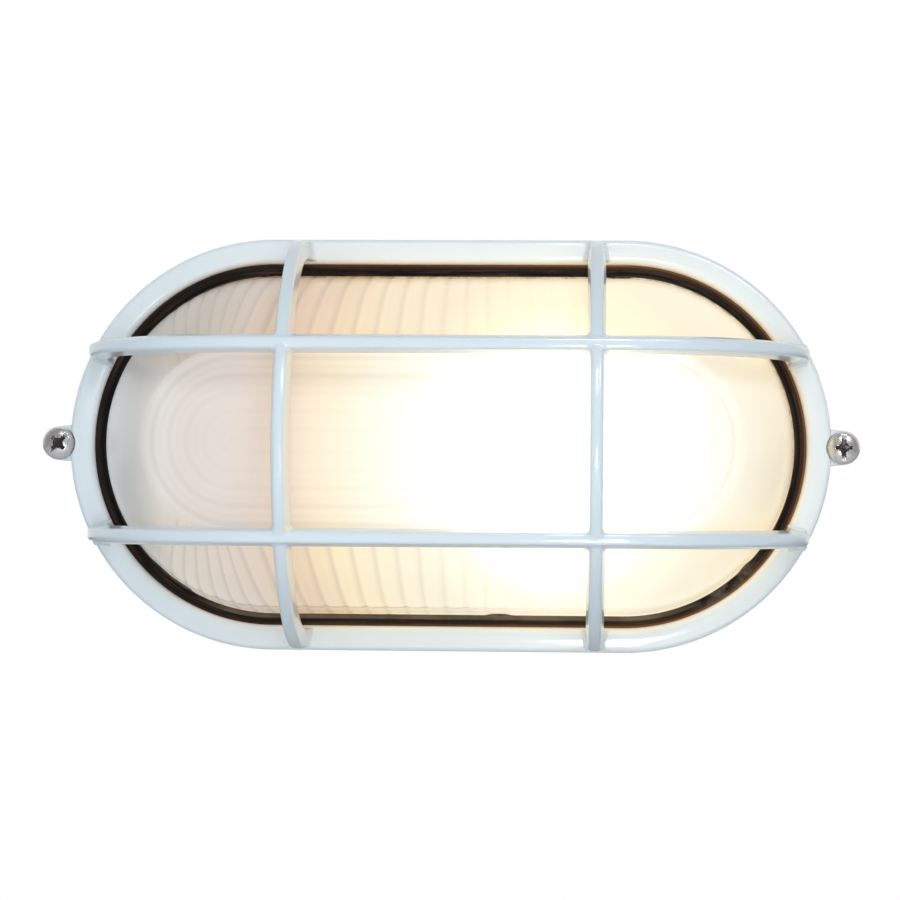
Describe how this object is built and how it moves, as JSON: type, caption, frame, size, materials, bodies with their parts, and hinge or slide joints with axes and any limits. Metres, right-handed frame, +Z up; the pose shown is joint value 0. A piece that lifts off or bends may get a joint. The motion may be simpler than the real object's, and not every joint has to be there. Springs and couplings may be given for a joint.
{
  "type": "bulkhead light",
  "caption": "Oval wall-mounted bulkhead light: cast housing, fluted frosted glass dome under a one-piece barred guard, with a lamp and its holder inside.",
  "frame": {"origin": "centre of the housing's flat back, on the face that lies against the wall", "axes": "+X to the right along the long side, +Z up along the wall, +Y into the wall, so the glass and guard face -Y"},
  "size_m": [0.216, 0.1013, 0.1095],
  "materials": {
    "white_powder_coat": "gloss powder coat on die-cast aluminium",
    "black_rubber": "matt moulded rubber",
    "frosted_glass": "pressed and frosted",
    "stainless_steel": "bright",
    "white_ceramic": "glazed ceramic",
    "brass": "plain",
    "zinc_plated_steel": "zinc plated",
    "opal_lamp": "opal bulb, lit",
    "block_plastic": "matt",
    "wire_brown": "wire insulation",
    "wire_blue": "wire insulation",
    "wire_green_yellow": "wire insulation",
    "white_plastic": "satin"
  },
  "bodies": {
    "root": {"back_housing": "white_powder_coat", "guard": "white_powder_coat", "glass_gasket": "black_rubber", "glass_diffuser": "frosted_glass", "cover_screw_left": "stainless_steel", "cover_screw_right": "stainless_steel", "lampholder_body": "white_ceramic", "lampholder_shell": "brass", "lampholder_contact": "brass", "lampholder_bracket": "zinc_plated_steel", "lampholder_screw_lower": "zinc_plated_steel", "lampholder_screw_upper": "zinc_plated_steel", "bracket_screw_lower": "zinc_plated_steel", "bracket_screw_upper": "zinc_plated_steel", "lamp": "opal_lamp", "terminal_block": "block_plastic", "terminal_block_screw": "zinc_plated_steel", "terminal_insert_live": "brass", "terminal_insert_neutral": "brass", "terminal_insert_earth": "brass", "terminal_screw_live_mains": "zinc_plated_steel", "terminal_screw_live_lamp": "zinc_plated_steel", "terminal_screw_neutral_mains": "zinc_plated_steel", "terminal_screw_neutral_lamp": "zinc_plated_steel", "terminal_screw_earth_mains": "zinc_plated_steel", "terminal_screw_earth_lamp": "zinc_plated_steel", "earth_tag": "brass", "earth_screw": "zinc_plated_steel", "wire_live": "wire_brown", "wire_neutral": "wire_blue", "wire_earth": "wire_green_yellow", "entry_grommet": "black_rubber", "blanking_plug": "white_plastic", "plug_seal": "black_rubber"}
  },
  "joints": []
}
